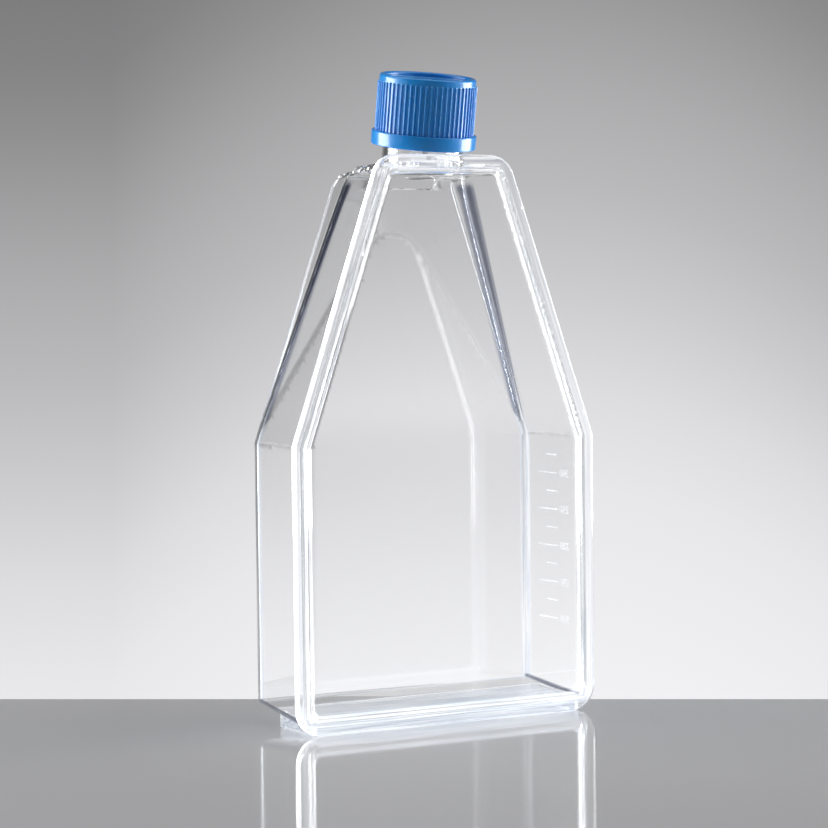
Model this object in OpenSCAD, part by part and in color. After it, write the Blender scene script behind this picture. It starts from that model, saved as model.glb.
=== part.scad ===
// Cell culture flask, 150 square centimetre class, with a canted neck and a vented screw cap.
// It stands upright on the lower edge of its rim and on a foot rail behind the rim.
// X runs across the flask, Y from the rim towards the growth panel, Z up towards the neck.

/* [Rim outline] */
// Width over the rim
rim_w = 120; // [100:1:144]
// Height of the rim above the table
rim_h = 198.7; // [182:0.1:238.4]
// Height at which the straight sides turn into the sloping sides
shoulder_h = 99.5; // [82.9:0.1:119.4]
// Width over the rim at the neck end, measured between the unrounded corners
top_w = 51.4; // [46:0.2:62]
// Corner radius of the rim at the foot and at the neck end
corner_r = 9.6; // [8:0.1:11.5]
// Corner radius of the rim at the shoulders
shoulder_r = 3.5; // [2:0.1:8]

/* [Rim and cover plate] */
// Width of the rim bead
bead_w = 5.9; // [5.4:0.1:6.4]
// Depth of the rim bead, front to back
bead_d = 2.4; // [2.1:0.1:2.9]
// Radius of the bead's outer front edge
bead_r = 1; // [0.8:0.1:1.2]
// Radius of the bead's outer back edge
bead_back_r = 0.4; // [0.3:0.1:0.5]
// Width of the slope that leads from the bead's crest down to the cover plate
step_w = 0.9; // [0.7:0.1:1.1]
// How far the bead stands out past the wall of the shell
overhang = 2.9; // [2.4:0.1:2.9]
// Thickness of the clear cover plate
plate_t = 1.7; // [1.4:0.1:2]
// How far the plate lies behind the front of the bead
plate_set = 0.7; // [0.5:0.1:0.9]
// Thickness of the tongue that locates the plate inside the shell
tongue_t = 1; // [0.8:0.1:1.2]
// How far the tongue reaches into the shell
tongue_h = 2; // [1.7:0.1:2.4]
// Gap between the tongue and the wall of the shell
weld_gap = 0.1; // [0.05:0.05:0.2]
// Height above the bead's inner edge of the ledge that the neck's foot stands on
ledge_up = 2.3; // [1.9:0.1:2.8]

/* [Shell] */
// Depth from the front of the rim to the back of the growth panel
depth = 40.3; // [37:0.1:48.4]
// Wall thickness
wall = 1.5; // [1.2:0.05:1.8]
// Draft of each side wall, front to back
side_draft = 1.3; // [0.5:0.1:1.6]
// Draft of the bottom wall and of the top wall, front to back
end_draft = 3.6; // [2.5:0.1:4.3]
// Draft that the pad under the neck would have if it ran through to the back
pad_draft = 1; // [0.8:0.1:1.2]
// Distance from the front of the rim to the back of the pad under the neck
pad_y = 23.4; // [20:0.1:26]
// Rounding of the back edges
back_r = 0.8; // [0.6:0.1:1]
// Corner radius of the shell at the foot and at the neck end
shell_r = 2; // [1.6:0.1:2.4]

/* [Ramp to the neck] */
// Distance from the top of the growth panel's arch to the top of the rim
arch_top = 26.47; // [24:0.01:28]
// Radius of the arch's top
arch_r = 13.7; // [11:0.1:16.5]
// Slope of the ramp that leads from the growth panel to the neck
ramp_angle = 24; // [21:0.5:27]
// How far the fins beside the ramp stop short of the back at the neck end
fin_setback = 1.7; // [1:0.1:2]
// Height of the bevel on the fins' back corner at the neck end
fin_bevel = 2.8; // [2.3:0.1:3.3]

/* [Foot rail] */
// Distance from the front of the rim to the back of the foot rail
foot_y = 28.4; // [23.6:0.1:34.1]
// How far the foot rail lies inside the width of the rim, on each side
foot_inset = 6.7; // [5.5:0.1:8.1]
// Thickness of the foot rail
foot_t = 1.3; // [1:0.1:1.6]

/* [Neck] */
// Outside radius of the neck
neck_r = 14.3; // [12:0.1:14.7]
// Wall thickness of the neck
neck_wall = 1.6; // [1.3:0.1:2]
// Lean of the neck towards the cover plate
neck_cant = 10; // [8:0.5:12]
// Distance from the front of the rim to the neck's axis, at the cap's lower edge
neck_y = 15.7; // [15.1:0.1:18.9]
// Height of the cap's lower edge above the rim, on the neck's axis
neck_rise = 3.5; // [3.4:0.1:4.2]

/* [Thread] */
// Pitch of the thread: the cap's rise in one turn
thread_pitch = 4; // [3.4:0.1:4.8]
// Depth of the thread on the neck
thread_d = 1.1; // [0.9:0.05:1.3]
// Turns of thread on the neck and in the cap
thread_turns = 1.5; // [1.25:0.05:1.8]
// Gap between the neck's thread and the cap, and between the cap's thread and the neck
thread_gap = 0.3; // [0.25:0.05:0.4]
// Distance from the neck's mouth to the top of its thread
thread_set = 3; // [2.5:0.1:3.6]
// Width of the neck's thread at its root
thread_w = 2; // [1.7:0.05:2.1]
// Width of the neck's thread at its crest
crest_w = 0.9; // [0.7:0.05:1]
// Width of the cap's thread at its root
cap_thread_w = 1.6; // [1.3:0.05:1.7]
// Width of the cap's thread at its crest
cap_crest_w = 0.7; // [0.5:0.05:0.8]

/* [Cap] */
// Height of the cap
cap_h = 24.7; // [20.6:0.1:29.7]
// Radius of the plain band at the cap's lower edge
band_r = 18.5; // [18:0.1:18.6]
// Height of the plain band
band_h = 5; // [4.2:0.1:6]
// Radius over the grip ribs
grip_r = 17.5; // [17.3:0.1:17.8]
// Number of grip ribs
grip_ribs = 60; // [50:1:72]
// Depth of the grooves between the ribs
groove_d = 0.5; // [0.4:0.05:0.6]
// Height of the rounded lip above the ribs
lip_h = 2.4; // [2:0.1:2.9]
// Radial width of the lip
lip_w = 1.9; // [1.6:0.1:2.2]
// Depth of the recess in the cap's top
recess_d = 1.9; // [1.6:0.1:2.2]
// Thickness of the cap's top
cap_top_t = 1.6; // [1.3:0.1:1.9]
// Number of vent holes
vents = 6; // [5:1:8]
// Radius of a vent hole
vent_r = 1.8; // [1.5:0.1:2.1]
// Distance of the vent holes from the cap's axis
vent_ring_r = 8; // [6.7:0.1:9.6]

/* [Vent membrane] */
// Thickness of the membrane
membrane_t = 0.4; // [0.3:0.05:0.5]
// Gap between the membrane and the neck's mouth
mouth_gap = 0.3; // [0.25:0.05:0.4]
// Gap between the membrane and the cap's top
membrane_gap = 0.1; // [0.05:0.05:0.15]

/* [Hidden] */

round_steps = 8;      // flats in a rounded corner
arch_steps = 24;      // flats in the arch's top
turn_steps = 48;      // thread sections in one turn
least_r = 0.5;        // least radius of an outline's corner
slice_t = 0.01;       // thickness of the outline slices that the lofts join
cut = 1;              // how far a cutting shape runs past what it cuts
root_bite = 0.3;      // how far a thread's root is sunk into its wall
bevel = 0.3;          // where the flat that stands for a rounding starts, as a share of its radius
thread_tip = 0.1;     // share of a thread's depth that is left at its two ends
tip_width = 0.4;      // share of a thread's width that is left where it has no depth
rib_share = 0.14;     // half the width of a rib's crest, as a share of the ribs' spacing
groove_share = 0.28;  // half the width of a rib's foot, as a share of the ribs' spacing
$fn = 96;

// Lean of the rim's sloping sides, and the constant of the line that each one lies on
slant = atan((rim_w - top_w) / 2 / (rim_h - shoulder_h));
slant_c = rim_w / 2 * cos(slant) + shoulder_h * sin(slant);

// The shell's back corner at the shoulder, where the arch starts
back_inset = overhang + side_draft;
arch_x = rim_w / 2 - back_inset;
arch_z = slant_z(arch_x, back_inset);
// Centre of the arch's top. Each straight edge runs from there to the shoulder's corner, at this angle
// from the vertical, and arch_c is the constant of its line
arch_centre_z = rim_h - arch_top - arch_r;
arch_rise = arch_centre_z - arch_z;
arch_angle = acos(arch_r / norm([arch_x, arch_rise])) - atan2(arch_rise, arch_x);
arch_c = arch_centre_z * sin(arch_angle) + arch_r;

neck_z = rim_h + neck_rise;
bore_r = neck_r - neck_wall;
mouth_s = cap_h - recess_d - cap_top_t - membrane_gap - membrane_t - mouth_gap;
cap_bore_r = neck_r + thread_d + thread_gap;
membrane_r = neck_r + thread_gap;
// The ledge of the bead that the front of the neck's foot stands on
ledge_z = rim_h - bead_w + ledge_up;
neck_sunk = 16;       // how far the neck's root runs down below the cap's lower edge
thread_low = mouth_s - thread_set - thread_turns * thread_pitch;

// The cap leans over the rim, so the top of a grip rib or the lip above it is the front of the flask
lip_round = lip_w / 2;
lip_r = grip_r - groove_d;
rib_front = (cap_h - lip_h) * sin(neck_cant) + grip_r * cos(neck_cant);
lip_front = (cap_h - lip_round) * sin(neck_cant) + (lip_r - lip_round) * cos(neck_cant) + lip_round;
centre_y = (depth + neck_y - max(rib_front, lip_front)) / 2;

function slant_x(z, inset) = (slant_c - inset - z * sin(slant)) / cos(slant);
function slant_z(x, inset) = (slant_c - inset - x * cos(slant)) / sin(slant);
function arc(centre, r, from, to, steps) =
    [for (i = [0:steps]) let (a = from + (to - from) * i / steps) centre + r * [cos(a), sin(a)]];
function flip(points) = [for (i = [len(points) - 1:-1:0]) [-points[i].x, points[i].y]];

// Right half of the house-shaped outline: side, foot and top are insets from the rim's outline
function half_outline(side, foot, top, r, rs) = concat(
    arc([rim_w / 2 - side - r, foot + r], r, -90, 0, round_steps),
    arc([rim_w / 2 - side - rs, slant_z(rim_w / 2 - side - rs, side + rs)], rs, 0, slant, round_steps),
    arc([slant_x(rim_h - top - r, side + r), rim_h - top - r], r, slant, 90, round_steps));

module outline(side, foot, top, r, rs) {
    half = half_outline(side, foot, top, max(r, least_r), max(rs, least_r));
    polygon(concat(half, flip(half)));
}

// Rim outline, inset by the same amount all round
module rim_outline(inset) outline(inset, inset, inset, corner_r - inset, shoulder_r);

// How far the shell's walls are drawn in at a depth, with a draft
function drawn_in(y, draft) = overhang + draft * (y - bead_d) / (depth - bead_d);

// Outline of the shell at a depth
module shell_outline(y, inset, top_draft = end_draft)
    outline(drawn_in(y, side_draft) + inset, drawn_in(y, end_draft) + inset, drawn_in(y, top_draft) + inset,
        shell_r - inset, shoulder_r - inset);

// Everything inside the growth panel's arch, grown outwards
module arch_outline(grow) {
    foot_x = (arch_c + grow + cut * sin(arch_angle)) / cos(arch_angle);
    polygon(concat(
        [[-foot_x, -cut], [foot_x, -cut]],
        arc([0, arch_centre_z], arch_r + grow, arch_angle, 180 - arch_angle, arch_steps)));
}

// Stands a flat outline upright, from depth y to depth y + t
module upright(y, t) translate([0, y + t, 0]) rotate([90, 0, 0]) linear_extrude(t) children();

module along_neck(s) translate([0, neck_y, neck_z]) rotate([neck_cant, 0, 0]) translate([0, 0, s]) children();

// Runs a profile, drawn in Y and Z, across the whole width
module across() rotate([90, 0, 90]) translate([0, 0, -rim_w]) linear_extrude(2 * rim_w) children();

// Outside of the shell, with its top wall stepped down behind the pad that the neck stands on
module shell_outside() difference() {
    hull() {
        upright(bead_d, slice_t) shell_outline(bead_d, 0, pad_draft);
        upright(depth - back_r, slice_t) shell_outline(depth - back_r, 0, pad_draft);
        upright(depth - back_r * bevel, slice_t) shell_outline(depth, back_r * bevel, pad_draft);
        upright(depth - slice_t, slice_t) shell_outline(depth, back_r, pad_draft);
    }
    across() polygon([[pad_y, rim_h], [pad_y, rim_h - drawn_in(pad_y, end_draft)],
        [depth + cut, rim_h - drawn_in(depth + cut, end_draft)], [depth + cut, rim_h]]);
}

module shell_inside(back) hull() {
    upright(bead_d - cut, slice_t) shell_outline(bead_d - cut, wall);
    upright(back - slice_t, slice_t) shell_outline(back, wall);
}

// What lies under the ramp, thinned by t from the ramp's outer face
module under_ramp(t) {
    back = depth - t;
    front = bead_d - 2 * cut;
    rise = depth - t / cos(ramp_angle);
    hull() {
        upright(front, slice_t) arch_outline((rise - front) / tan(ramp_angle));
        upright(back - slice_t, slice_t) arch_outline((rise - back) / tan(ramp_angle));
    }
}

// Cuts the fins back towards the neck end, clear of the growth panel, and bevels their corner
module fin_trim() {
    back = depth - fin_setback;
    corner_z = rim_h - drawn_in(depth, end_draft) - fin_bevel;
    difference() {
        across() polygon([[depth, arch_z], [back, corner_z], [back - (rim_h - corner_z), rim_h],
            [depth + cut, rim_h], [depth + cut, arch_z]]);
        under_ramp(0);
    }
}

// Where the neck may stand: on the bead's ledge, and anywhere behind the bead
module neck_zone() {
    translate([-rim_w / 2, -rim_w / 2, ledge_z]) cube([rim_w, rim_w, rim_h]);
    translate([-rim_w / 2, bead_d, 0]) cube([rim_w, rim_w, rim_h]);
}

// A thread from radius r_root to r_crest, outwards or inwards, that climbs from height s and fades out
// at both ends
module thread(r_root, r_crest, s, foot_w, tip_w) {
    sections = round(thread_turns * turn_steps);
    fade = turn_steps / 8;
    up = r_crest > r_root ? 1 : -1;
    profile = [for (i = [0:sections])
        let (swell = min(1, i / fade, (sections - i) / fade) * (1 - thread_tip) + thread_tip,
             crest = r_root + (r_crest - r_root) * swell,
             a = 360 * i / turn_steps,
             z = s + thread_pitch * i / turn_steps,
             width = up * (tip_width + (1 - tip_width) * swell) / 2)
        each [for (p = [[r_root, -foot_w], [crest, -tip_w], [crest, tip_w], [r_root, foot_w]])
            [p[0] * cos(a), p[0] * sin(a), z + p[1] * width]]];
    sides = [for (i = [0:sections - 1], j = [0:3])
        [4 * i + j, 4 * i + (j + 1) % 4, 4 * i + 4 + (j + 1) % 4, 4 * i + 4 + j]];
    low_end = [[3, 2, 1, 0]];
    high_end = [[for (j = [0:3]) 4 * sections + j]];
    polyhedron(profile, concat(sides, low_end, high_end), convexity = 6);
}

module foot_rail() {
    x = rim_w / 2 - foot_inset;
    difference() {
        translate([-x, bead_d, 0]) cube([2 * x, foot_y - bead_d, overhang + end_draft]);
        translate([-x + foot_t, bead_d - cut, -cut])
            cube([2 * (x - foot_t), foot_y - foot_t - bead_d + cut, rim_h]);
    }
}

// Shell with growth panel, ramp, fins, foot rail and neck: one moulding
module body_shell() color("aliceblue", 0.4) difference() {
    union() {
        difference() {
            shell_outside();
            difference() {
                shell_inside(depth + cut);
                under_ramp(0);
            }
            fin_trim();
        }
        foot_rail();
        intersection() {
            along_neck(-neck_sunk) cylinder(r = neck_r, h = neck_sunk + mouth_s);
            neck_zone();
        }
        along_neck(0) thread(neck_r - root_bite, neck_r + thread_d, thread_low, thread_w, crest_w);
    }
    intersection() {
        shell_inside(depth - wall);
        under_ramp(wall);
    }
    along_neck(-neck_sunk - cut) cylinder(r = bore_r, h = neck_sunk + mouth_s + 2 * cut);
}

// Outline of the tongue, which clears the shell's drafted walls at its tip
module tongue_outline(inset) shell_outline(bead_d + tongue_h, wall + weld_gap + inset);

// Cover plate with the raised rim bead and the tongue that locates it in the shell: one moulding
module cover_plate() color("white", 0.5) difference() {
    union() {
        hull() {
            upright(0, slice_t) rim_outline(bead_r);
            upright(bead_r * bevel, slice_t) rim_outline(bead_r * bevel);
            upright(bead_r, bead_d - bead_back_r - bead_r) rim_outline(0);
            upright(bead_d - slice_t, slice_t) rim_outline(bead_back_r);
        }
        upright(bead_d, tongue_h) tongue_outline(0);
    }
    hull() {
        upright(-slice_t, slice_t) rim_outline(bead_w);
        upright(plate_set - slice_t, slice_t) rim_outline(bead_w + step_w);
    }
    upright(plate_set + plate_t, bead_d + tongue_h) tongue_outline(tongue_t);
    intersection() {
        along_neck(-neck_sunk) cylinder(r = neck_r + weld_gap, h = neck_sunk + mouth_s);
        translate([-rim_w / 2, -cut, ledge_z]) cube([rim_w, rim_w, rim_h]);
    }
}

// Ribbed outline of the grip, with one rib straight at the front
module grip() {
    step = 360 / grip_ribs;
    function at(r, share, i) = r * [cos((i + share) * step - 90), sin((i + share) * step - 90)];
    linear_extrude(cap_h - lip_h - band_h + cut)
        polygon([for (i = [0:grip_ribs - 1]) each [
            at(grip_r, -rib_share, i), at(grip_r, rib_share, i),
            at(lip_r, groove_share, i), at(lip_r, 1 - groove_share, i)]]);
}

// Section of the cap's body, turned about the neck's axis
module cap_section() {
    edge = 0.4;
    top_s = cap_h - recess_d;
    under_s = top_s - cap_top_t;
    polygon(concat(
        [[cap_bore_r, 0], [band_r - edge, 0], [band_r, edge],
         [band_r, band_h - edge], [band_r - edge, band_h], [lip_r, band_h]],
        arc([lip_r - lip_round, cap_h - lip_round], lip_round, 0, 180, round_steps),
        [[lip_r - lip_w, top_s], [0, top_s], [0, under_s], [cap_bore_r, under_s]]));
}

// Screw cap with its grip ribs, raised lip, vent holes and thread: one moulding
module cap() color("dodgerblue") along_neck(0) {
    difference() {
        union() {
            rotate_extrude() cap_section();
            difference() {
                translate([0, 0, band_h - cut]) grip();
                translate([0, 0, -cut]) cylinder(r = cap_bore_r, h = cap_h);
            }
        }
        for (i = [0:vents - 1])
            rotate([0, 0, 360 * i / vents]) translate([vent_ring_r, 0, 0])
                cylinder(r = vent_r, h = cap_h, $fn = 32);
    }
    thread(cap_bore_r + root_bite, neck_r + thread_gap, thread_low - thread_pitch / 2,
        cap_thread_w, cap_crest_w);
}

// Water-repellent membrane under the vent holes
module vent_membrane() color("whitesmoke")
    along_neck(mouth_s + mouth_gap) cylinder(r = membrane_r, h = membrane_t);

translate([0, -centre_y, 0]) {
    body_shell();
    cover_plate();
    cap();
    vent_membrane();
}
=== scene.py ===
"""Cell culture flask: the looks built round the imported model. Sizes are millimetres until a mesh is made."""
import bpy, math
import numpy as np
import openvdb
from mathutils import Matrix, Vector


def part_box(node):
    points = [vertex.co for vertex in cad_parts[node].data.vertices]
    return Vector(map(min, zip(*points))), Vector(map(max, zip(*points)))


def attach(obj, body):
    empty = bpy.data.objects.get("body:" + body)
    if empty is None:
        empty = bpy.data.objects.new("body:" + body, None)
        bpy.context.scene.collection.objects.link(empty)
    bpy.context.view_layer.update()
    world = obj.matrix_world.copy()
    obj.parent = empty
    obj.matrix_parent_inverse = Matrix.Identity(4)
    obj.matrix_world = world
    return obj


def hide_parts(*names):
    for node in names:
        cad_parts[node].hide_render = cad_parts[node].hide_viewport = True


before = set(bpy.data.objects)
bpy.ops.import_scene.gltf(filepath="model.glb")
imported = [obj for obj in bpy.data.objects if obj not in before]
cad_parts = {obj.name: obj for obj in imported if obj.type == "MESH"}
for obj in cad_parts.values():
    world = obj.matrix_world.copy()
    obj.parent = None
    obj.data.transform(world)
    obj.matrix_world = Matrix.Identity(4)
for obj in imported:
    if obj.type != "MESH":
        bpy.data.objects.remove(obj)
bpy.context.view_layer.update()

MM = 0.001
bead_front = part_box("cover_plate")[0].y / MM      # the row frame's y at the front of the rim

# Rim outline
rim_w, rim_h, shoulder_h, top_w = 120, 198.7, 99.5, 51.4
corner_r, shoulder_r = 9.6, 3.5
# Rim bead and cover plate
bead_w, bead_d, bead_r, bead_back_r, step_w, overhang = 5.9, 2.4, 1, 0.4, 0.9, 2.9
plate_t, plate_set = 1.7, 0.7
tongue_t, tongue_h, weld_gap = 1, 2, 0.1
# Shell
depth, wall, side_draft, end_draft, back_r, shell_r = 40.3, 1.5, 1.3, 3.6, 0.8, 2
pad_draft, pad_y = 1, 23.4
arch_top, arch_r, ramp_angle = 26.47, 13.7, math.radians(24)
fin_setback, fin_bevel = 1.7, 2.8
foot_y, foot_inset, foot_t = 28.4, 6.7, 1.3
# Neck and thread
neck_r, neck_wall, neck_y, neck_rise = 14.3, 1.6, 15.7, 3.5
neck_cant = math.radians(10)
neck_sunk, ledge_up = 16, 2.3
thread_pitch, thread_d, thread_turns, thread_gap, thread_set = 4, 1.1, 1.5, 0.3, 3
thread_sunk, thread_root_w, thread_crest_w = 0.3, 2, 0.9
cap_thread_root_w, cap_thread_crest_w = 1.6, 0.7
# Cap
cap_h, band_r, band_h, grip_r, grip_ribs, groove_d = 24.7, 18.5, 5, 17.5, 60, 0.5
lip_h, lip_w, recess_d, cap_top_t = 2.4, 1.9, 1.9, 1.6
vents, vent_r, vent_ring_r = 6, 1.8, 8
membrane_t, mouth_gap, membrane_gap = 0.4, 0.3, 0.1

# Volume marks: lowest height and rise, distance from the rim's front, lengths, width, number height, ink's
# thickness, then the numbers, the gap beside them and the ink's clearance from the wall
first_mark, mark_rise, mark_y = 31.2, 13.3, 19
mark_long, mark_short, mark_w, number_h, print_t = 12, 7, 0.5, 2.7, 0.04
mark_numbers, number_gap, print_gap = (100, 150, 200, 250, 300), 1.6, 0.03

slant = math.atan((rim_w - top_w) / 2 / (rim_h - shoulder_h))
slant_c = rim_w / 2 * math.cos(slant) + shoulder_h * math.sin(slant)
neck_z = rim_h + neck_rise
bore_r = neck_r - neck_wall
cap_bore_r = neck_r + thread_d + thread_gap
mouth_s = cap_h - recess_d - cap_top_t - membrane_gap - membrane_t - mouth_gap
thread_low = mouth_s - thread_set - thread_turns * thread_pitch
ledge_z = rim_h - bead_w + ledge_up
lip_r = grip_r - groove_d

# Faces of a box from its lower four corners and the four above them
BOX_FACES = [(3, 2, 1, 0), (4, 5, 6, 7), (0, 1, 5, 4), (1, 2, 6, 5), (2, 3, 7, 6), (3, 0, 4, 7)]


def slant_z(x, inset):
    """Height at which the sloping side, moved in by inset, has this half width."""
    return (slant_c - inset - x * math.cos(slant)) / math.sin(slant)


back_inset = overhang + side_draft
arch_x = rim_w / 2 - back_inset
arch_z = slant_z(arch_x, back_inset)
arch_centre_z = rim_h - arch_top - arch_r
arch_rise = arch_centre_z - arch_z
arch_angle = math.acos(arch_r / math.hypot(arch_x, arch_rise)) - math.atan2(arch_rise, arch_x)
arch_c = arch_centre_z * math.sin(arch_angle) + arch_r


# ---- Shapes as distances: below 0 inside, 0 on the surface, in millimetres ----

def both(a, b, r):
    """What lies in a and in b, with the edge between them rounded by r."""
    return np.minimum(np.maximum(a, b), -r) + np.hypot(np.maximum(a + r, 0), np.maximum(b + r, 0))


def either(a, b, r):
    """What lies in a or in b, with a fillet of r between them."""
    return -both(-a, -b, r)


def house(x, z, side, foot, top, r, rs):
    """Distance from the house-shaped outline whose sides, foot and top lie that far inside the rim."""
    x = abs(x)
    c, s = math.cos(slant), math.sin(slant)
    d = np.maximum(np.maximum(x - (rim_w / 2 - side), x * c + z * s - (slant_c - side)),
                   np.maximum(foot - z, z - (rim_h - top)))
    dx, dz = x - (rim_w / 2 - side - r), z - (foot + r)
    d = np.where((dx > 0) & (dz < 0), np.hypot(dx, dz) - r, d)
    shoulder_x = rim_w / 2 - side - rs
    dx, dz = x - shoulder_x, z - (slant_c - side - rs - shoulder_x * c) / s
    d = np.where((dz > 0) & (dx * s > dz * c), np.hypot(dx, dz) - rs, d)
    top_z = rim_h - top - r
    dx, dz = x - (slant_c - side - r - top_z * s) / c, z - top_z
    return np.where((dx > 0) & (dz * c > dx * s), np.hypot(dx, dz) - r, d)


def rim_outline(x, z):
    """Distance from the rim's own outline."""
    return house(x, z, 0, 0, 0, corner_r, shoulder_r)


def drawn_in(y, draft):
    """How far inside the rim a drafted wall lies at a depth."""
    return overhang + draft * (y - bead_d) / (depth - bead_d)


def shell_outline(x, y, z, top_draft=end_draft):
    """Distance from the outside of the shell's four walls."""
    side, foot, top = (drawn_in(y, draft) for draft in (side_draft, end_draft, top_draft))
    return house(x, z, side, foot, top, shell_r, shoulder_r)


def arch(x, z):
    """Distance from the growth panel's arch, in the plane of the panel."""
    x = abs(x)
    up = z - arch_centre_z
    c, s = math.cos(arch_angle), math.sin(arch_angle)
    return np.where(x * s < up * c, np.hypot(x, up) - arch_r, x * c + z * s - arch_c)


def along_neck(x, y, z):
    """Radius, angle and height of a point about the neck's axis."""
    y, z = y - neck_y, z - neck_z
    c, s = math.cos(neck_cant), math.sin(neck_cant)
    across, up = y * c + z * s, z * c - y * s
    return np.hypot(x, across), np.arctan2(across, x), up


def thread_rib(radius, angle, up, low, root, crest, root_w, crest_w):
    """Distance from a screw thread that starts at height low, found through the turn that each point is nearest
    to.
    """
    turn = angle / (2 * math.pi) % 1
    turn = turn + np.round((up - low) / thread_pitch - turn)
    swell = np.clip(np.minimum(turn, thread_turns - turn) * 8, 0, 1)
    off = abs(up - low - thread_pitch * turn)
    sign = 1 if crest > root else -1
    top = root + (crest - root) * swell
    flank = (root_w - crest_w) / 2 / abs(crest - root)
    width = crest_w / 2 * (0.4 + 0.6 * swell) + flank * sign * (top - radius)
    rib = both((off - width) / math.hypot(1, flank), sign * (radius - top), 0.25)
    return np.where((turn >= 0) & (turn <= thread_turns), rib, thread_pitch)


def flask_shell(x, y, z):
    """Shell with its growth panel, ramp, fins, foot rail and threaded neck: one moulding."""
    outline = shell_outline(x, y, z)
    ramp = (y - depth + arch(x, z) * math.tan(ramp_angle)) * math.cos(ramp_angle)
    top_z = rim_h - drawn_in(y, end_draft)
    padded = both(shell_outline(x, y, z, pad_draft), either(y - pad_y, z - top_z, 0.3), 0.3)
    corner_z = rim_h - drawn_in(depth, end_draft) - fin_bevel
    lean = math.atan(fin_setback / (corner_z - arch_z))
    trim = both((y - depth) * math.cos(lean) + (z - arch_z) * math.sin(lean),
                (y - depth + fin_setback + z - corner_z) * math.sqrt(0.5), 0.8)
    back = np.maximum(y - depth, np.minimum(trim, ramp - 1))
    skin = both(padded, back, back_r)
    body = both(skin, either(-wall - outline, ramp, 0.35), 0.4)

    rail_x = rim_w / 2 - foot_inset
    outer = both(abs(x) - rail_x, y - foot_y, 1.2)
    inner = both(abs(x) - rail_x + foot_t, y - foot_y + foot_t, 0.6)
    rail = np.maximum(both(np.maximum(outer, -inner), -z, 0.4), z - overhang - end_draft)
    body = either(body, rail, 0.5)

    radius, angle, up = along_neck(x, y, z)
    neck = np.maximum(both(radius - neck_r, up - mouth_s, 0.5), -neck_sunk - up)
    thread = thread_rib(radius, angle, up, thread_low, neck_r - thread_sunk, neck_r + thread_d,
                        thread_root_w, thread_crest_w)
    neck = either(neck, thread, 0.25)
    neck = np.maximum(neck, np.minimum(ledge_z - z, bead_d - y))
    body = np.maximum(either(body, neck, 1.0), np.minimum(bead_d - y, neck))

    chamber = both(both(outline + wall, y - depth + wall, 0.4), ramp + wall, 0.4)
    body = np.maximum(body, -chamber)
    ease = np.clip((y - foot_y + 2) * 2, 0.45, 8)
    body = np.where(up > -neck_sunk - 1, both(body, bore_r - radius, ease), body)
    return np.maximum(body, np.minimum(bead_d + 0.04 - y, radius - neck_r - 0.05))


def plate_and_rim(x, y, z):
    """Cover plate with the raised bead round it and the tongue behind it: one moulding."""
    out = rim_outline(x, z)
    bead = both(both(out, -y, bead_r), y - bead_d, bead_back_r)
    slope = (out + bead_w + step_w * y / plate_set) / math.hypot(1, step_w / plate_set)
    front = both(slope, y - plate_set, 0.3)
    inside = shell_outline(x, bead_d + tongue_h, z) + wall + weld_gap
    behind = both(inside, y - bead_d - tongue_h, 0.25)
    solid = either(bead, behind, 0.15)
    well = both(inside + tongue_t, plate_set + plate_t - y, 0.3)
    solid = both(both(solid, -front, 0.5), -well, 0.25)
    radius = along_neck(x, y, z)[0]
    notch = both(radius - neck_r - 0.12, ledge_z - z, 0.1)
    return both(solid, -notch, 0.2)


def moulding(name, shape, low, high, step):
    """Meshes a shape, sets each point exactly on its surface and gives it the surface's own normal."""
    axes = [np.arange(a, b + step, step, dtype=np.float32) for a, b in zip(low, high)]
    x, y, z = np.ix_(*axes)
    grid = openvdb.FloatGrid(2 * step)
    grid.copyFromArray(np.clip(shape(x, y, z), -2 * step, 2 * step).astype(np.float32))
    points, triangles, quads = grid.convertToPolygons(0.0, 0.02)
    points = points.astype(float) * step + np.array(low, float)

    def slope(p, h=0.02):
        f = [(shape(*(p + e).T) - shape(*(p - e).T)) / (2 * h) for e in np.eye(3) * h]
        return np.stack(f, 1)
    for _ in range(3):
        g = slope(points)
        steepness = np.maximum((g * g).sum(1), 0.25)
        points -= np.clip(shape(*points.T), -0.3, 0.3)[:, None] * g / steepness[:, None]
    normals = slope(points)
    normals /= np.maximum(np.linalg.norm(normals, axis=1), 1e-6)[:, None]
    faces = triangles.tolist() + quads.tolist()
    mesh = bpy.data.meshes.new(name)
    mesh.from_pydata(((points + [0, bead_front, 0]) * MM).tolist(), [], faces)
    mesh.shade_smooth()
    mesh.validate()
    mesh.normals_split_custom_set_from_vertices(normals.tolist())
    piece = bpy.data.objects.new(name, mesh)
    bpy.context.scene.collection.objects.link(piece)
    return piece


# ---- Camera ----

def look_from(azimuth, elevation, roll, place, focal):
    """Camera at a place, turned by its angles in degrees, with its focal length in picture widths."""
    azimuth, elevation, roll = (math.radians(a) for a in (azimuth, elevation, roll))
    level = math.cos(elevation)
    back = Vector((math.sin(azimuth) * level, -math.cos(azimuth) * level, math.sin(elevation)))
    right = (-back).cross(Vector((0, 0, 1))).normalized()
    up = right.cross(-back)
    turned = right * math.cos(roll) + up * math.sin(roll), up * math.cos(roll) - right * math.sin(roll), back
    data = bpy.data.cameras.new("camera")
    data.lens = focal * data.sensor_width
    data.clip_start, data.clip_end = 0.05, 20
    camera = bpy.data.objects.new("camera", data)
    bpy.context.scene.collection.objects.link(camera)
    rows = [[turned[j][i] for j in range(3)] + [place[i]] for i in range(3)]
    camera.matrix_world = Matrix(rows + [[0, 0, 0, 1]])
    bpy.context.scene.camera = camera
    return camera


# ---- Cap ----

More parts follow.
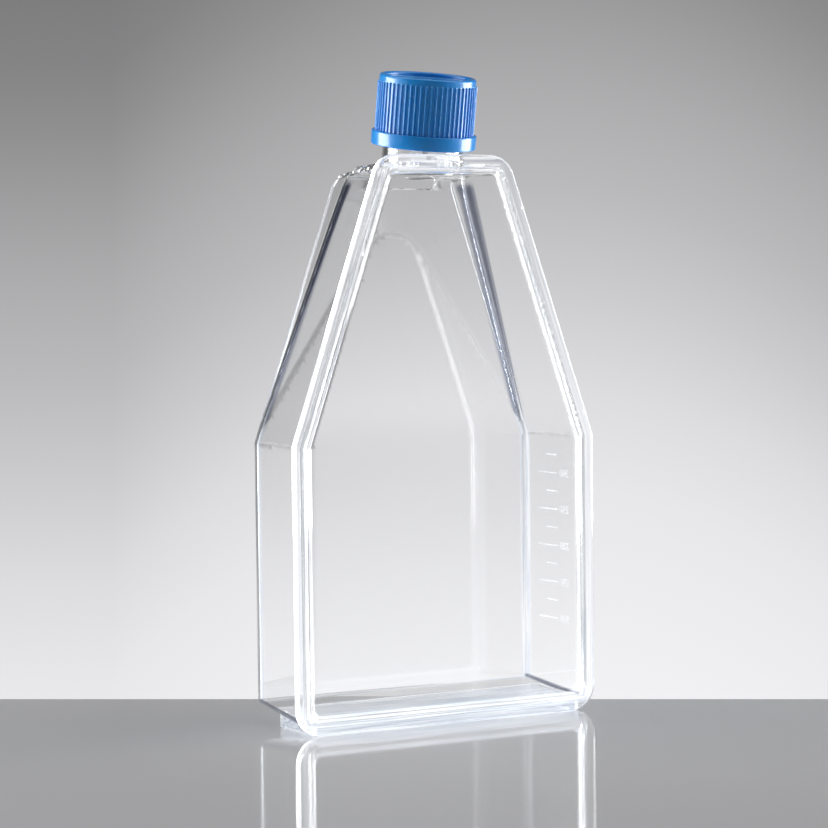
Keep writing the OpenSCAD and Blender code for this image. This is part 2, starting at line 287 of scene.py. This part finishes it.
def turned_section():
    """Rows of the cap's section, from the middle of its top round to the middle of its underside: radius,
    height, and how much of the ribs and of the thread each row carries."""
    top_s, under_s = cap_h - recess_d, cap_h - recess_d - cap_top_t
    lip_round, recess_round, band_round, mouth_round, roof_round, run_in = lip_w / 2, 0.6, 0.5, 0.4, 0.5, 0.55
    land_in, land_out = vent_ring_r - vent_r - 0.9, vent_ring_r + vent_r + 0.9

    def arc(r, s, radius, start, end, steps=6):
        angles = np.radians(np.linspace(start, end, steps + 1))
        return [(r + radius * math.cos(a), s + radius * math.sin(a), 0, 0) for a in angles]
    rib_top, rib_foot = cap_h - lip_h, band_h
    rows = [(0.02, top_s, 0, 0), (3, top_s, 0, 0), (land_in, top_s, 0, 0), (vent_ring_r, top_s, 0, 0),
            (land_out, top_s, 0, 0)]
    rows += arc(lip_r - lip_w - recess_round, top_s + recess_round, recess_round, -90, 0)
    rows += arc(lip_r - lip_round, cap_h - lip_round - 0.02, lip_round, 180, 0, 14)
    rows += [(lip_r, rib_top + 0.25, 0, 0)]
    rows += [(lip_r, rib_top - g, math.sin(math.pi / 2 * min(1, g / run_in)), 0)
             for g in (0, 0.08, 0.18, 0.3, 0.42, run_in)]
    rows += [(lip_r, s, 1, 0) for s in np.linspace(rib_top - 1, rib_foot + 0.6, 9)]
    rows += [(lip_r, rib_foot + 0.3, 1, 0), (lip_r, rib_foot + 0.05, 1, 0)]
    rows += arc(band_r - band_round, band_h - band_round, band_round, 90, 0)
    rows += [(band_r, band_h * 0.5, 0, 0)]
    rows += arc(band_r - mouth_round, mouth_round, mouth_round, 0, -90)
    rows += arc(cap_bore_r + mouth_round, mouth_round, mouth_round, -90, -180)
    rows += [(cap_bore_r, s, 0, 1) for s in np.arange(0.8, under_s - 0.7, 0.3)]
    rows += arc(cap_bore_r - roof_round, under_s - roof_round, roof_round, 0, 90)
    rows += [(land_out, under_s, 0, 0), (vent_ring_r, under_s, 0, 0), (land_in, under_s, 0, 0),
             (3, under_s, 0, 0), (0.02, under_s, 0, 0)]
    return np.array(rows)


def from_neck(r_cos, r_sin, s):
    """Row-frame place, in millimetres, of a point given about the neck's axis."""
    c, n = math.cos(neck_cant), math.sin(neck_cant)
    return np.stack([r_cos, neck_y + bead_front + r_sin * c - s * n, neck_z + r_sin * n + s * c], -1)


def screw_cap():
    """Screw cap with grip ribs, band, lip, recess and inner thread: one moulding."""
    shares = np.array([0, 0.07, 0.13, 0.19, 0.27, 0.5, 0.73, 0.81, 0.87, 0.93])
    rise = np.array([1, 0.97, 0.8, 0.35, 0.02, 0, 0.02, 0.35, 0.8, 0.97])
    turns = ((np.arange(grip_ribs)[:, None] + shares) / grip_ribs).ravel()
    angle = turns * 2 * math.pi - math.pi / 2
    rows = turned_section()
    radius = rows[:, :1] + rows[:, 2:3] * groove_d * np.tile(rise, grip_ribs)
    s = np.broadcast_to(rows[:, 1:2], radius.shape)
    deep = thread_rib(np.full_like(radius, cap_bore_r), np.broadcast_to(angle, radius.shape), s,
                      thread_low - thread_pitch / 2, cap_bore_r + thread_sunk, neck_r + thread_gap,
                      cap_thread_root_w, cap_thread_crest_w)
    ramp_in = np.clip((0.5 - deep) / 0.55, 0, 1)
    inward = (cap_bore_r - neck_r - thread_gap) * ramp_in * ramp_in * (3 - 2 * ramp_in)
    radius = radius - rows[:, 3:4] * inward
    points = from_neck(radius * np.cos(angle), radius * np.sin(angle), s)
    n_rows, n = radius.shape
    ring = np.arange(n_rows * n).reshape(n_rows, n)
    a, b = ring[:-1], ring[1:]
    quads = np.stack([a, b, np.roll(b, -1, 1), np.roll(a, -1, 1)], -1).reshape(-1, 4).tolist()
    ends = [ring[0].tolist(), ring[-1][::-1].tolist()]
    mesh = bpy.data.meshes.new("screw_cap")
    mesh.from_pydata((points.reshape(-1, 3) * MM).tolist(), [], quads + ends)
    mesh.shade_smooth()
    cap = bpy.data.objects.new("screw_cap", mesh)
    bpy.context.scene.collection.objects.link(cap)
    drill_vents(cap)
    return cap


def drill_vents(cap):
    """Cuts the ring of vent holes, with their edges eased, through the cap's top."""
    top_s, under_s = cap_h - recess_d, cap_h - recess_d - cap_top_t
    eased = 0.2
    outline = [(vent_r + eased + 1, top_s + 1), (vent_r + eased, top_s), (vent_r, top_s - eased),
               (vent_r, under_s + eased), (vent_r + eased, under_s), (vent_r + eased + 1, under_s - 1)]
    steps = 32
    points, faces = [], []
    for hole in range(vents):
        turn = 2 * math.pi * hole / vents
        first = len(points)
        for r, s in outline:
            for i in range(steps):
                a = 2 * math.pi * i / steps
                points.append(from_neck(vent_ring_r * math.cos(turn) + r * math.cos(a),
                                        vent_ring_r * math.sin(turn) + r * math.sin(a), s) * MM)
        for k in range(len(outline) - 1):
            for i in range(steps):
                j = (i + 1) % steps
                here, there = first + k * steps, first + (k + 1) * steps
                faces.append([here + i, there + i, there + j, here + j])
        faces.append([first + i for i in range(steps)])
        faces.append([first + (len(outline) - 1) * steps + i for i in reversed(range(steps))])
    mesh = bpy.data.meshes.new("vent_drill")
    mesh.from_pydata([tuple(p) for p in points], [], faces)
    drill = bpy.data.objects.new("vent_drill", mesh)
    bpy.context.scene.collection.objects.link(drill)
    cut = cap.modifiers.new("vents", "BOOLEAN")
    cut.operation, cut.object, cut.solver = "DIFFERENCE", drill, "MANIFOLD"
    bpy.context.view_layer.update()
    done = bpy.data.meshes.new_from_object(cap.evaluated_get(bpy.context.evaluated_depsgraph_get()))
    cap.modifiers.clear()
    old, cap.data = cap.data, done
    done.name = "screw_cap"
    bpy.data.meshes.remove(old)
    bpy.data.objects.remove(drill)
    bpy.data.meshes.remove(mesh)
    done.shade_smooth()
    done.set_sharp_from_angle(angle=math.radians(38))


# ---- Volume marks ----

def number_outline(number, height):
    """Points, in the plane of the print, and faces of a plain number that ends at its right-hand edge."""
    digit_share = 0.7       # a digit's height in the size of its lettering
    curve = bpy.data.curves.new("number", "FONT")
    curve.body, curve.size = str(number), height / digit_share
    curve.align_x, curve.align_y = "RIGHT", "CENTER"
    curve.extrude, curve.resolution_u = print_t / 2, 4
    lettering = bpy.data.objects.new("number", curve)
    bpy.context.scene.collection.objects.link(lettering)
    bpy.context.view_layer.update()
    mesh = bpy.data.meshes.new_from_object(lettering.evaluated_get(bpy.context.evaluated_depsgraph_get()))
    made = [tuple(v.co) for v in mesh.vertices], [list(f.vertices) for f in mesh.polygons]
    bpy.data.objects.remove(lettering)
    bpy.data.curves.remove(curve)
    bpy.data.meshes.remove(mesh)
    return made


def volume_marks():
    """Scale printed on the right-hand wall: a plain number and a long dash each, short dashes half-way."""
    points, faces = [], []

    def add(flat, polygons, y, z):
        """Lays a flat shape on the wall, with its origin at a depth and a height."""
        first = len(points)
        for a, b, t in flat:
            wall_x = rim_w / 2 - drawn_in(y + a, side_draft)
            points.append(tuple(c * MM for c in (wall_x + print_gap + t, y + a + bead_front, z + b)))
        faces.extend([[first + i for i in polygon] for polygon in polygons])

    def dash(length, z):
        a, b, t = length, mark_w / 2, print_t / 2
        box = [(i, j, k) for k in (-t, t) for i, j in ((0, -b), (a, -b), (a, b), (0, b))]
        add(box, BOX_FACES, mark_y, z)
    for i, number in enumerate(mark_numbers):
        z = first_mark + i * mark_rise
        add(*number_outline(number, number_h), mark_y - number_gap, z)
        dash(mark_long, z)
        dash(mark_short, z + mark_rise / 2)
    mesh = bpy.data.meshes.new("volume_marks")
    mesh.from_pydata(points, [], faces)
    mesh.validate()
    marks = bpy.data.objects.new("volume_marks", mesh)
    bpy.context.scene.collection.objects.link(marks)
    return marks


# ---- Finishes ----

def node(tree, kind, place=(0, 0), **settings):
    """Adds a node, with its place in the layout and its settings."""
    made = tree.nodes.new(kind)
    made.location = place
    for name, value in settings.items():
        setattr(made, name, value)
    return made


def arithmetic(tree):
    """A function that adds a math node of a kind, fed by numbers and sockets, and gives its output."""
    def math_node(kind, *values):
        made = node(tree, "ShaderNodeMath", operation=kind)
        for value, socket in zip(values, made.inputs):
            if isinstance(value, (int, float)):
                socket.default_value = value
            else:
                tree.links.new(value, socket)
        return made.outputs[0]
    return math_node


def map_range(tree, value, start, end, low=0.0, high=1.0, kind="LINEAR"):
    """Carries a value from one range to another, and gives the output."""
    made = node(tree, "ShaderNodeMapRange", interpolation_type=kind)
    made.inputs["From Min"].default_value, made.inputs["From Max"].default_value = start, end
    made.inputs["To Min"].default_value, made.inputs["To Max"].default_value = low, high
    tree.links.new(value, made.inputs["Value"])
    return made.outputs["Result"]


def new_group(name, numbers, outputs):
    """An empty node group with number inputs, given with their usual values, and the outputs named."""
    group = bpy.data.node_groups.new(name, "ShaderNodeTree")
    for label, value in numbers.items():
        group.interface.new_socket(label, in_out="INPUT", socket_type="NodeSocketFloat").default_value = value
    for label, kind in outputs.items():
        group.interface.new_socket(label, in_out="OUTPUT", socket_type=kind)
    return group, group.nodes.new("NodeGroupInput"), group.nodes.new("NodeGroupOutput")


def moulded_surface_group():
    """Moulded plastic: slow waves left by the mould, fine grain and faint rub marks. Heights in millimetres."""
    group, take, give = new_group("moulded_surface", {
        "Wave Height": 0.02, "Wave Size": 18.0, "Grain Height": 0.0015, "Grain Size": 0.4,
        "Gloss": 0.05, "Rub": 0.1},
        {"Height": "NodeSocketFloat", "Roughness": "NodeSocketFloat", "Mask": "NodeSocketFloat"})
    link = group.links.new
    place = node(group, "ShaderNodeTexCoord")
    waves = node(group, "ShaderNodeTexNoise")
    waves.inputs["Detail"].default_value = 1.0
    grain = node(group, "ShaderNodeTexNoise")
    grain.inputs["Detail"].default_value = 3.0
    rubs = node(group, "ShaderNodeTexNoise")
    rubs.inputs["Scale"].default_value = 60.0
    rubs.inputs["Detail"].default_value = 3.0
    rubs.inputs["Distortion"].default_value = 0.6
    for texture in (waves, grain, rubs):
        link(place.outputs["Object"], texture.inputs["Vector"])
    math_node = arithmetic(group)
    link(math_node("DIVIDE", 1 / MM, take.outputs["Wave Size"]), waves.inputs["Scale"])
    link(math_node("DIVIDE", 1 / MM, take.outputs["Grain Size"]), grain.inputs["Scale"])
    height = math_node("ADD", math_node("MULTIPLY", waves.outputs["Fac"], take.outputs["Wave Height"]),
                       math_node("MULTIPLY", grain.outputs["Fac"], take.outputs["Grain Height"]))
    mask = map_range(group, rubs.outputs["Fac"], 0.45, 0.75)
    link(height, give.inputs["Height"])
    rough = math_node("MULTIPLY_ADD", mask, take.outputs["Rub"], take.outputs["Gloss"])
    link(rough, give.inputs["Roughness"])
    link(mask, give.inputs["Mask"])
    return group


# Edges: how softly two sides' lines meet, a streak's length and depth in millimetres
corner_blend, streak_long, streak_deep = 3, 100 / 3, 2
# Clear plastic's painted light, which the surface gives off as emission: what a ray is given once it has
# bounced more often than the limit, the painted glow low on the walls; and how frosted the thick edges are
deep_limit, deep_light, low_glow_level, edge_frost = 5.5, 0.14, 0.025, 0.1


def edge_lines_group():
    """How far a point lies in from the rim's outline, back from its front and up, in millimetres; fine streaks
    of flow and weld that follow the outline, which also draw lines into the painted edge glow and shade; and
    where the painted shade lies, a dark wedge along the folds between the ramp and the walls and a dark band
    along the walls' bottom edge."""
    group, take, give = new_group("edge_lines", {"Streak Size": 0.5}, {
        label: "NodeSocketFloat" for label in ("Inward", "Back", "Up", "Streaks", "Fold Shade")})
    link = group.links.new
    place = node(group, "ShaderNodeTexCoord")
    split = node(group, "ShaderNodeSeparateXYZ")
    scale = node(group, "ShaderNodeVectorMath", operation="MULTIPLY_ADD")
    scale.inputs[1].default_value, scale.inputs[2].default_value = [1 / MM] * 3, (0, -bead_front, 0)
    link(place.outputs["Object"], scale.inputs[0])
    link(scale.outputs["Vector"], split.inputs[0])
    x, y, z = split.outputs
    math_node = arithmetic(group)
    across = math_node("ABSOLUTE", x)
    beside = math_node("SUBTRACT", rim_w / 2, across)
    leaning = math_node("SUBTRACT", slant_c, math_node("MULTIPLY_ADD", across, math.cos(slant),
                                                       math_node("MULTIPLY", z, math.sin(slant))))
    below = math_node("SUBTRACT", rim_h, z)
    inward = math_node("SMOOTH_MIN", math_node("MINIMUM", beside, leaning), math_node("MINIMUM", z, below),
                       corner_blend)
    lines = node(group, "ShaderNodeCombineXYZ")
    link(math_node("DIVIDE", inward, take.outputs["Streak Size"]), lines.inputs[0])
    link(math_node("DIVIDE", math_node("ADD", x, z), streak_long), lines.inputs[1])
    link(math_node("DIVIDE", y, streak_deep), lines.inputs[2])
    streaks = node(group, "ShaderNodeTexNoise")
    streaks.inputs["Scale"].default_value = 1.0
    streaks.inputs["Detail"].default_value = 2.0
    link(lines.outputs[0], streaks.inputs["Vector"])
    spread = map_range(group, streaks.outputs["Fac"], 0.36, 0.62)
    off_arch = math_node("SUBTRACT", math_node("MULTIPLY_ADD", across, math.cos(arch_angle),
                                               math_node("MULTIPLY", z, math.sin(arch_angle))), arch_c)
    off_ramp = math_node("MULTIPLY_ADD", off_arch, -math.sin(ramp_angle),
                         math_node("MULTIPLY", math_node("SUBTRACT", depth, y), math.cos(ramp_angle)))
    over_arch = math_node("MAXIMUM", math_node("SUBTRACT", z, arch_z), 1.0)
    wedge = math_node("DIVIDE", math_node("SUBTRACT", off_ramp, wall), over_arch)
    above = math_node("SUBTRACT", z, math_node("MULTIPLY_ADD", y, end_draft / (depth - bead_d), overhang))

    def within(*limits):
        """Where each value has passed from its empty end to its full one."""
        total = 1.0
        for value, empty, full in limits:
            total = math_node("MULTIPLY", total, map_range(group, value, empty, full, kind="SMOOTHSTEP"))
        return total
    # Painted shade: a dark wedge along the folds between the ramp and the walls, and a dark band along the
    # walls' bottom edge
    fold_shade = math_node("MAXIMUM",
                     within((wedge, 0.055, 0.04), (wedge, -0.015, -0.005), (z, arch_z, arch_z + 8),
                            (inward, back_inset + 4.5, back_inset + 3), (below, 8, 11)),
                     within((above, 2.4, 1.4), (beside, back_inset + 3, back_inset + 1.5), (y, 3, 6)))
    for label, value in (("Inward", inward), ("Back", y), ("Up", z), ("Streaks", spread), ("Fold Shade", fold_shade)):
        link(value, give.inputs[label])
    return group


moulded_surface = moulded_surface_group()
edge_lines = edge_lines_group()


def finish(name, **values):
    """A material with the moulded surface placed in it, and its plastic shader."""
    material = bpy.data.materials.new(name)
    material.use_nodes = True
    tree = material.node_tree
    plastic = tree.nodes["Principled BSDF"]
    surface = node(tree, "ShaderNodeGroup", (-500, 0), node_tree=moulded_surface)
    for label, value in values.items():
        surface.inputs[label.replace("_", " ")].default_value = value
    bump = node(tree, "ShaderNodeBump", (-250, -200))
    bump.inputs["Distance"].default_value = MM
    tree.links.new(surface.outputs["Height"], bump.inputs["Height"])
    tree.links.new(bump.outputs["Normal"], plastic.inputs["Normal"])
    tree.links.new(surface.outputs["Roughness"], plastic.inputs["Roughness"])
    return material, tree, plastic, surface


def clear_polystyrene(name, glow, bands, **values):
    """Polished clear moulding that lets lamp light through to what stands in and behind it. Its thick edges
    get a painted glow (emission) and painted shade (a darker base colour): each of the bands is how much of the
    glow it has, then the edge values it goes by, where each starts and where it is full."""
    material, tree, plastic, surface = finish(name, **values)
    link = tree.links.new
    math_node = arithmetic(tree)
    edge = node(tree, "ShaderNodeGroup", (-1100, 300), node_tree=edge_lines).outputs
    # Painted light: a faint glow low on the walls, fading out at the arch's height
    low_glow = map_range(tree, edge["Up"], 0, arch_z, low_glow_level, 0)
    thick = None
    for share, *limits in bands:
        band = share
        for label, empty, full in limits:
            band = math_node("MULTIPLY", band, map_range(tree, edge[label], empty, full, kind="SMOOTHSTEP"))
        thick = band if thick is None else math_node("MAXIMUM", thick, band)
    # Painted light, given off as emission: a glow for rays that have bounced more often than the limit, and a
    # glow in the thick edges, in streaks, that stops where the painted shade along the folds lies
    rays = node(tree, "ShaderNodeLightPath", (0, 300))
    deep = math_node("MULTIPLY", math_node("GREATER_THAN", rays.outputs["Ray Depth"], deep_limit), deep_light)
    edge_glow = math_node("MULTIPLY", thick, math_node("MULTIPLY_ADD", edge["Streaks"], glow, glow / 4))
    edge_glow = math_node("MULTIPLY", edge_glow, math_node("SUBTRACT", 1.0, edge["Fold Shade"]))
    light = node(tree, "ShaderNodeMix", (-250, 400), data_type="RGBA")
    light.inputs[6].default_value, light.inputs[7].default_value = (0, 0, 0, 1), (0.97, 0.985, 1, 1)
    light.clamp_factor = False
    link(math_node("ADD", math_node("ADD", deep, edge_glow), low_glow), light.inputs[0])
    link(light.outputs[2], plastic.inputs["Emission Color"])
    plastic.inputs["Emission Strength"].default_value = 1.0
    # Painted shade: the thick edges' base colour is darkened to blue-grey, broken into lines by the streaks
    edge_shade = node(tree, "ShaderNodeMix", (-250, 200), data_type="RGBA")
    edge_shade.inputs[6].default_value, edge_shade.inputs[7].default_value = (0.995, 0.997, 1, 1), (0.72, 0.80, 0.92, 1)
    link(math_node("MULTIPLY", thick, math_node("SUBTRACT", 1.0, edge["Streaks"])), edge_shade.inputs[0])
    # Painted shade: this mask multiplies the base colour by a dark navy along the folds and the bottom edge
    fold_shade = node(tree, "ShaderNodeMix", (-100, 200), data_type="RGBA", blend_type="MULTIPLY")
    fold_shade.inputs[7].default_value = (0.16, 0.18, 0.25, 1)
    link(edge["Fold Shade"], fold_shade.inputs[0])
    link(edge_shade.outputs[2], fold_shade.inputs[6])
    link(fold_shade.outputs[2], plastic.inputs["Base Color"])
    rough = math_node("MULTIPLY_ADD", thick, edge_frost, surface.outputs["Roughness"])
    link(rough, plastic.inputs["Roughness"])
    plastic.inputs["Transmission Weight"].default_value = 1.0
    plastic.inputs["IOR"].default_value = 1.59
    clear = node(tree, "ShaderNodeBsdfTransparent", (0, -300))
    clear.inputs["Color"].default_value = (0.92, 0.94, 0.96, 1)
    mix = node(tree, "ShaderNodeMixShader", (300, 0))
    out = tree.nodes["Material Output"]
    link(rays.outputs["Is Shadow Ray"], mix.inputs[0])
    link(plastic.outputs[0], mix.inputs[1])
    link(clear.outputs[0], mix.inputs[2])
    link(mix.outputs[0], out.inputs["Surface"])
    return material


def blue_polyethylene():
    """The cap's coloured plastic: satin, with a sheen on its edges."""
    material, tree, plastic, surface = finish("blue_polyethylene", Wave_Height=0.01, Wave_Size=9.0,
                                              Grain_Height=0.004, Grain_Size=0.35, Gloss=0.24, Rub=0.08)
    tone = node(tree, "ShaderNodeMix", (-250, 200), data_type="RGBA")
    tone.inputs[6].default_value = (0.003, 0.29, 0.80, 1)
    tone.inputs[7].default_value = (0.005, 0.31, 0.82, 1)
    tree.links.new(surface.outputs["Mask"], tone.inputs[0])
    tree.links.new(tone.outputs[2], plastic.inputs["Base Color"])
    plastic.inputs["IOR"].default_value = 1.5
    plastic.inputs["Coat Weight"].default_value = 0.6
    plastic.inputs["Coat Roughness"].default_value = 0.12
    plastic.inputs["Subsurface Weight"].default_value = 0.15
    plastic.inputs["Subsurface Radius"].default_value = (0.1, 0.4, 1.0)
    plastic.inputs["Subsurface Scale"].default_value = 0.002
    return material


def vent_paper():
    """The membrane's matt fibrous paper."""
    material, tree, plastic, surface = finish("vent_paper", Wave_Height=0.03, Wave_Size=2.0,
                                              Grain_Height=0.02, Grain_Size=0.12, Gloss=0.8, Rub=0.1)
    tone = node(tree, "ShaderNodeMix", (-250, 200), data_type="RGBA")
    tone.inputs[6].default_value = (0.84, 0.84, 0.82, 1)
    tone.inputs[7].default_value = (0.74, 0.74, 0.72, 1)
    tree.links.new(surface.outputs["Mask"], tone.inputs[0])
    tree.links.new(tone.outputs[2], plastic.inputs["Base Color"])
    return material


def white_print():
    """Thin white ink, worn a little through in places."""
    material, tree, plastic, surface = finish("white_print", Wave_Height=0.004, Wave_Size=1.5,
                                              Grain_Height=0.006, Grain_Size=0.15, Gloss=0.35, Rub=0.2)
    plastic.inputs["Base Color"].default_value = (0.95, 0.95, 0.95, 1)
    fresh, worn = 0.2, 0.07
    tree.links.new(map_range(tree, surface.outputs["Mask"], 0, 1, fresh, worn), plastic.inputs["Alpha"])
    return material


# ---- Stage ----

def table(near, far_left, far_right):
    """Grey glossy table that ends just behind the flask. Its lengths are in metres."""
    fade_from, fade_to, spread, reach, slab = 0.6, 2.6, 3, 4, 0.02
    material = bpy.data.materials.new("table_top")
    material.use_nodes = True
    shader = material.node_tree.nodes["Principled BSDF"]
    shader.inputs["Base Color"].default_value = (0.47, 0.47, 0.48, 1)
    shader.inputs["Roughness"].default_value = 0.06
    tree = material.node_tree
    place = node(tree, "ShaderNodeTexCoord")
    away = node(tree, "ShaderNodeVectorMath", operation="DISTANCE")
    away.inputs[1].default_value = near
    tree.links.new(place.outputs["Object"], away.inputs[0])
    fade = map_range(tree, away.outputs["Value"], fade_from, fade_to, 1.0, 0.0, kind="SMOOTHSTEP")
    tree.links.new(fade, shader.inputs["Alpha"])
    left, right = Vector(far_left), Vector(far_right)
    along = (right - left).normalized()
    left, right = left - along * spread, right + along * spread
    toward = Vector(near) - left
    toward = (toward - along * toward.dot(along)).normalized() * reach
    points = [left, right, right + toward, left + toward]
    points += [p - Vector((0, 0, slab)) for p in points]
    mesh = bpy.data.meshes.new("table")
    mesh.from_pydata([tuple(p) for p in points], [], BOX_FACES)
    mesh.materials.append(material)
    made = bpy.data.objects.new("table", mesh)
    bpy.context.scene.collection.objects.link(made)
    return made


# Backdrop: share of its height, and its level there
backdrop_levels = [(0.0, 0.905), (0.04, 0.896), (0.12, 0.863), (0.21, 0.82), (0.30, 0.735), (0.394, 0.61),
                   (0.486, 0.50), (0.578, 0.42), (0.637, 0.36), (0.708, 0.285), (0.767, 0.238), (1.0, 0.14)]
# Where the backdrop begins and ends in height; the sideways place of its brightest column, and how wide and
# how far it dims beside that
backdrop_low, backdrop_high = -0.16, 0.24
bright_at, dim_width, dim_by = 0.039, 0.0224, 0.172
# Studio: how far round a direction lies from the backdrop (0) to the camera (1), and the shares that the
# bright walls and the light low down have there
studio_shares = [(0.0, 0.0, 0.0), (0.07, 0.06, 0.0), (0.12, 0.08, 0.0), (0.18, 0.05, 0.5), (0.29, 0.05, 0.5),
                 (0.33, 1.0, 0.0), (0.62, 1.0, 0.0), (0.72, 0.08, 1.0), (0.8, 0.08, 1.0), (0.86, 0.04, 0.1),
                 (1.0, 0.04, 0.1)]
wall_level = 1.3
# The light low down: where it is full and where faint, and its levels there
low_light_range = (-0.13, 0.06, 1.2, 0.06)


def color_ramp(tree, value, stops):
    """Colour ramp with a colour at each stop, fed by a value."""
    made = node(tree, "ShaderNodeValToRGB")
    tree.links.new(value, made.inputs["Fac"])
    elements = made.color_ramp.elements
    while len(elements) < len(stops):
        elements.new(0.5)
    for element, (at, color) in zip(elements, stops):
        element.position, element.color = at, (*color, 1)
    return made.outputs["Color"]


def studio(right, front):
    """World: a pale backdrop that darkens with height. Light that has bounced also meets the studio round it,
    which has white walls at both sides and is dark in front."""
    world = bpy.data.worlds.new("studio")
    bpy.context.scene.world = world
    world.use_nodes = True
    tree = world.node_tree
    link = tree.links.new
    math_node = arithmetic(tree)
    direction = node(tree, "ShaderNodeTexCoord").outputs["Generated"]
    split = node(tree, "ShaderNodeSeparateXYZ")
    link(direction, split.inputs[0])
    up = split.outputs["Z"]

    def along(axis):
        """How far the direction points along an axis."""
        made = node(tree, "ShaderNodeVectorMath", operation="DOT_PRODUCT")
        made.inputs[1].default_value = axis
        link(direction, made.inputs[0])
        return made.outputs["Value"]
    off = math_node("SUBTRACT", along(right), bright_at)
    dimmer = map_range(tree, math_node("MULTIPLY", off, off), 0, dim_width, 0, dim_by)
    height = math_node("ADD", map_range(tree, up, backdrop_low, backdrop_high), dimmer)
    pale = [(at, (level * 0.985, level * 0.98, level)) for at, level in backdrop_levels]
    backdrop = color_ramp(tree, height, pale)

    around = map_range(tree, along(front), -1, 1)
    shares = node(tree, "ShaderNodeSeparateColor")
    stops = [(at, (walls, low, 0)) for at, walls, low in studio_shares]
    link(color_ramp(tree, around, stops), shares.inputs["Color"])
    low_light = math_node("MULTIPLY", shares.outputs["Green"], map_range(tree, up, *low_light_range))
    room = math_node("MULTIPLY_ADD", shares.outputs["Red"], wall_level, low_light)
    rays = node(tree, "ShaderNodeLightPath").outputs
    bounced = math_node("ADD", rays["Glossy Depth"], rays["Diffuse Depth"])
    bounced.node.use_clamp = True
    tone = node(tree, "ShaderNodeMix", data_type="RGBA")
    past_backdrop = map_range(tree, around, 0.05, 0.07, kind="SMOOTHSTEP")
    link(math_node("MULTIPLY", past_backdrop, bounced), tone.inputs[0])
    link(backdrop, tone.inputs[6])
    link(room, tone.inputs[7])
    link(tone.outputs[2], tree.nodes["Background"].inputs["Color"])
    return world


def softbox(name, place, aim, width, height, level):
    """Area lamp of a plain brightness level, turned to a point."""
    data = bpy.data.lights.new(name, "AREA")
    data.shape, data.size, data.size_y = "RECTANGLE", width, height
    data.energy = level * math.pi * width * height
    lamp = bpy.data.objects.new(name, data)
    bpy.context.scene.collection.objects.link(lamp)
    lamp.location = place
    lamp.rotation_euler = (Vector(aim) - Vector(place)).to_track_quat("-Z", "Y").to_euler()
    return lamp


# ---- The flask ----

# Camera: its angles in degrees, its place in metres and its focal length in picture widths
view_angles, view_place, view_focal = (-29.01, 2.83, -0.69), (-0.46735, -0.83563, 0.15524), 3.27307
camera = look_from(*view_angles, view_place, view_focal)
turn = camera.matrix_world.to_3x3()


def on_table(x, y):
    """Where the camera's ray that leans by these shares of its length, right and up, meets the table."""
    ray = turn @ Vector((x, y, -1))
    start = camera.matrix_world.translation
    return start + ray * (-start.z / ray.z)


# Table: how far below the middle of the view its near point and its far edge lie, and the edge's half width
near_drop, edge_drop, edge_side = 0.15, 0.1052, 0.107
table(on_table(0, -near_drop), on_table(-edge_side, -edge_drop), on_table(edge_side, -edge_drop))
side = Vector((turn.col[0].x, turn.col[0].y, 0)).normalized()
front = Vector((side.y, -side.x, 0))
studio(turn.col[0], front)
middle = Vector((0, 0, 0.12))
box_away, box_up, box_w, box_h = 0.7, 0.08, 0.42, 0.4
for name, angle, level in (("left_softbox", -98, 8), ("right_softbox", 108, 8.5)):
    a = math.radians(angle)
    place = middle + (front * math.cos(a) + side * math.sin(a)) * box_away + Vector((0, 0, box_up))
    softbox(name, place, middle, box_w, box_h, level)

shell = moulding("flask_shell", flask_shell, (-58, -5, -1), (58, 42, 226), 0.4)
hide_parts("body_shell")
rim = moulding("cover_plate_and_rim", plate_and_rim, (-61, -1, -1), (61, 5.5, 200), 0.35)
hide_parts("cover_plate")
cap = screw_cap()
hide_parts("cap")
marks = volume_marks()
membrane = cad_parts["vent_membrane"]
# Thick-edge bands, which get the painted glow and the painted blue-grey shade
rim_band = ("Inward", bead_w + 0.8, bead_w - 0.2)
rim_edges = ((0.5, rim_band), (0.8, rim_band, ("Up", 14, 7)))
shell_edges = ((1.0, ("Back", depth - 4, depth - 3), ("Inward", back_inset + 4, back_inset + 2.5)),
               (1.0, ("Up", 6, 4.5)))
# Levels of the painted edge glow in the shell and in the plate
shell_glow, rim_glow = 0.1, 0.2
polished = {"Grain_Height": 0.0, "Gloss": 0.0, "Rub": 0.02}
clear_shell = clear_polystyrene("clear_shell", shell_glow, shell_edges,
                                Wave_Height=0.012, Wave_Size=22.0, **polished)
clear_plate = clear_polystyrene("clear_plate", rim_glow, rim_edges,
                                Wave_Height=0.008, Wave_Size=26.0, **polished)
for piece, material, body, slot in (
        (shell, clear_shell, "flask", "clear_shell"),
        (rim, clear_plate, "flask", "clear_plate"),
        (marks, white_print(), "flask", "membrane"),
        (cap, blue_polyethylene(), "cap", "blue_cap")):
    piece.data.materials.clear()
    piece.data.materials.append(material)
    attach(piece, body)
membrane.material_slots[0].material = vent_paper()

view = bpy.context.scene.view_settings
view.view_transform = "Standard"
